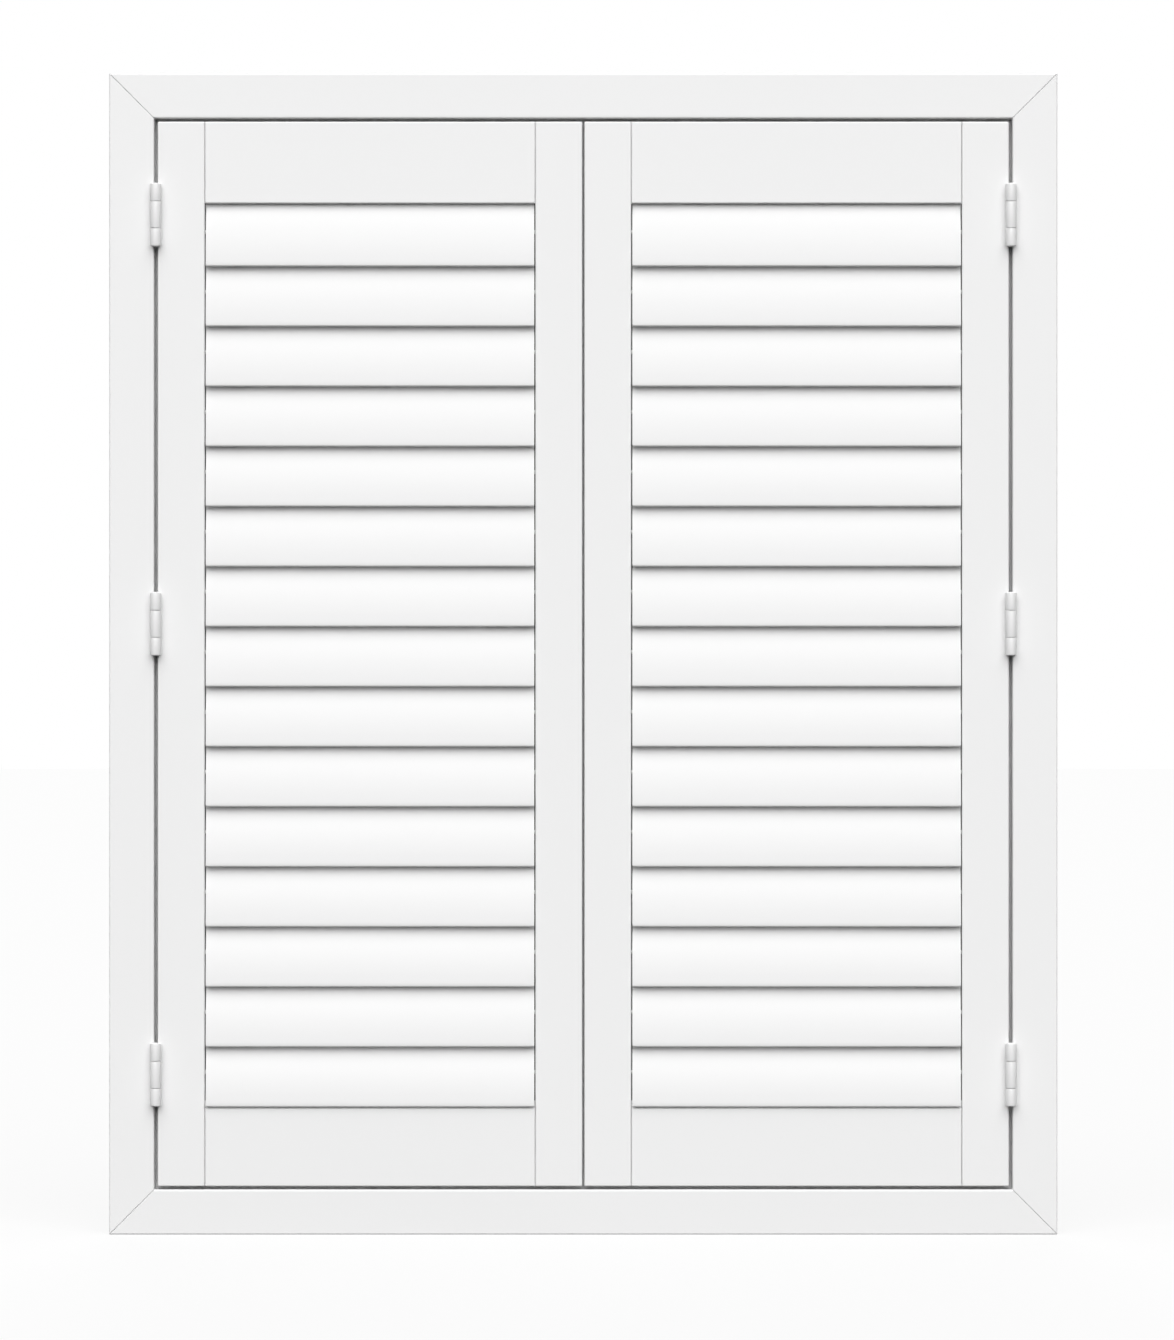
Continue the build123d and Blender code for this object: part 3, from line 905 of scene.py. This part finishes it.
class SHUTTERS_OT_stage(bpy.types.Operator):
    """Set up the floor, the camera and the lamps"""

    bl_idname = "shutters.stage"
    bl_label = "Studio"

    def execute(self, context):
        studio = context.scene.shutter_studio
        low, high = CAD_BOX
        self.add_floor(context, studio, low.z)
        self.add_camera(context, studio, (low + high) / 2)
        self.add_lamp(context, "key", studio.key, studio.key_width, studio.key_height, 0)
        self.add_lamp(context, "back", studio.back, studio.back_width, studio.back_height, math.pi)
        # Painted shade: near-black strips in the gaps at the louvres' ends
        self.add_gap_shade(context, studio.gap_shade)
        self.add_surround(context, studio.sky)
        return {"FINISHED"}

    def add_floor(self, context, studio, height):
        """A wide floor at the foot of the frame."""
        mesh = bpy.data.meshes.new("floor")
        bm = bmesh.new()
        bmesh.ops.create_grid(bm, x_segments=1, y_segments=1, size=FLOOR_REACH)
        bmesh.ops.translate(bm, vec=(0, 0, height), verts=bm.verts)
        bm.to_mesh(mesh)
        bm.free()
        mesh.materials.append(studio_white(studio))
        floor = bpy.data.objects.new("floor", mesh)
        context.scene.collection.objects.link(floor)

    def add_camera(self, context, studio, middle):
        """A level camera whose picture has the photograph's scale at the frame's face."""
        camera = bpy.data.cameras.new("camera")
        camera.sensor_width = FILM_WIDTH
        camera.lens = FILM_WIDTH * studio.distance / (PHOTO_HEIGHT * studio.picture_scale)
        camera.shift_x = (PHOTO_WIDTH / 2 - PHOTO_CENTRE[0]) / PHOTO_HEIGHT
        camera.shift_y = (PHOTO_CENTRE[1] - PHOTO_HEIGHT / 2) / PHOTO_HEIGHT
        camera.clip_end = VIEW_REACH
        eye = bpy.data.objects.new("camera", camera)
        eye.location = (middle.x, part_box("frame_head")[0].y - studio.distance, middle.z)
        eye.rotation_euler = (QUARTER_TURN, 0, 0)
        context.scene.collection.objects.link(eye)
        context.scene.camera = eye

    def add_surround(self, context, strength):
        """A surround that is white to the eye and gives only a little light."""
        world = bpy.data.worlds.new("studio")
        context.scene.world = world
        world.use_nodes = True
        world.node_tree.nodes.clear()
        level = add_node(
            world, "ShaderNodeMapRange", {"To Min": strength, "To Max": 1.0}, Value=seen_directly(world)
        )
        sky = add_node(world, "ShaderNodeBackground", {"Color": WHITE}, Strength=level.outputs["Result"])
        add_node(world, "ShaderNodeOutputWorld", Surface=sky.outputs["Background"])

    def add_lamp(self, context, name, strength, width, height, turn):
        """A far, wide lamp at an angle above the floor, turned round the shutters from the front."""
        light = bpy.data.lights.new(name, "SUN")
        light.energy = strength
        light.angle = width
        lamp = bpy.data.objects.new(name, light)
        lamp.rotation_euler = (QUARTER_TURN - height, 0, turn)
        context.scene.collection.objects.link(lamp)

    def add_gap_shade(self, context, brightness):
        """A near-black strip of painted shade in the gap at each end of the louvres."""
        # Painted shade: one faintly glowing near-black sheet between each stile and the louvres' ends
        painted_shade = painted_gap_shade(brightness)
        for side in SIDES:
            low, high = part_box(f"louvre_{side}_01")
            depth = joint_of(f"louvre_{side}_01").y
            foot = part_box(f"bottom_rail_{side}")[1].z
            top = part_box(f"top_rail_{side}")[0].z
            bm = bmesh.new()
            for stile in ("hinge_stile", "meeting_stile"):
                stile_low, stile_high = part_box(f"{stile}_{side}")
                is_left = stile_high.x < low.x + NEAR
                near, far = (stile_high.x, low.x) if is_left else (high.x, stile_low.x)
                corners = [(near, foot), (far, foot), (far, top), (near, top)]
                bm.faces.new([bm.verts.new((x, depth, z)) for x, z in corners])
            mesh = bpy.data.meshes.new("gap_shade")
            bm.to_mesh(mesh)
            bm.free()
            mesh.materials.append(painted_shade)
            strips = bpy.data.objects.new(f"gap_shade_{side}", mesh)
            context.scene.collection.objects.link(strips)
            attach(strips, f"panel_{side}")


class SHUTTERS_OT_paint(bpy.types.Operator):
    """Paint the timber and the hinges and finish the small metal pieces"""

    bl_idname = "shutters.paint"
    bl_label = "Paint and plating"

    def execute(self, context):
        paint = context.scene.shutter_paint
        # Sprayed on planed timber: an even white, with wide, soft and faintly uneven highlights
        timber = soft_skin(TIMBER_PAINT, paint.timber, paint.roughness, paint)
        # The louvres' copy of the paint is darker: painted shade for the extra light that their tilted
        # faces catch
        soft_skin(SHADED_LOUVRE_PAINT, paint.louvre, paint.roughness, paint)
        # Stoved on steel: baked hard, so a little shinier than the timber beside it
        soft_skin(HINGE_PAINT, paint.hinge, paint.hinge_roughness, paint)
        # Zinc plate: a bluish grey with soft reflections
        zinc = plain_metal("zinc plated steel", paint.zinc, paint.zinc_roughness)
        # Moulded nylon: dull, and greyer than the paint; the grey is partly the nylon's own colour and
        # partly painted shade, so that the pivots stay dark in the gaps
        nylon = soft_skin("moulded nylon", paint.nylon, paint.nylon_roughness, paint)
        # Turned beech: a pale brown, the only bare wood
        beech = turned_beech("plain turned beech", paint)
        finishes = {
            "frame_centre_stop": timber, "hinge_stile": timber, "meeting_stile": timber,
            "tilt_bar": timber, "catch": zinc, "rail_dowels": beech, "louvre_pivots": nylon,
            "corner_keys": nylon,
        }
        for start, material in finishes.items():
            finish_nodes(material, [n for n in frame["nodes"] if n.startswith(start)])
        return {"FINISHED"}


class SHUTTERS_PT_panel(bpy.types.Panel):
    """Lists the steps in the order they are run"""

    bl_idname = "SHUTTERS_PT_panel"
    bl_label = "Shutters"
    bl_space_type = "VIEW_3D"
    bl_region_type = "UI"
    bl_category = "Shutters"

    def draw(self, context):
        for step in STEPS:
            self.layout.operator(step.bl_idname)


STEPS = (
    SHUTTERS_OT_stage, SHUTTERS_OT_paint, SHUTTERS_OT_frame, SHUTTERS_OT_rails, SHUTTERS_OT_louvres,
    SHUTTERS_OT_hinges, SHUTTERS_OT_screws,
)
SETTINGS = {
    "shutter_paint": PaintSettings,
    "shutter_studio": StudioSettings,
    "shutter_joint": JointSettings,
    "shutter_louvre": LouvreSettings,
    "shutter_hinge": HingeSettings,
}
CLASSES = (*SETTINGS.values(), *STEPS, SHUTTERS_PT_panel)


def register():
    for item in CLASSES:
        bpy.utils.register_class(item)
    for name, group in SETTINGS.items():
        setattr(bpy.types.Scene, name, bpy.props.PointerProperty(type=group))


def unregister():
    for name in SETTINGS:
        delattr(bpy.types.Scene, name)
    for item in reversed(CLASSES):
        bpy.utils.unregister_class(item)


def main():
    register()
    bpy.context.scene.view_settings.view_transform = "Standard"
    bpy.ops.shutters.stage()
    bpy.ops.shutters.paint()
    bpy.ops.shutters.frame()
    bpy.ops.shutters.rails()
    bpy.ops.shutters.louvres()
    bpy.ops.shutters.hinges()
    bpy.ops.shutters.screws()


if __name__ == "__main__":
    main()
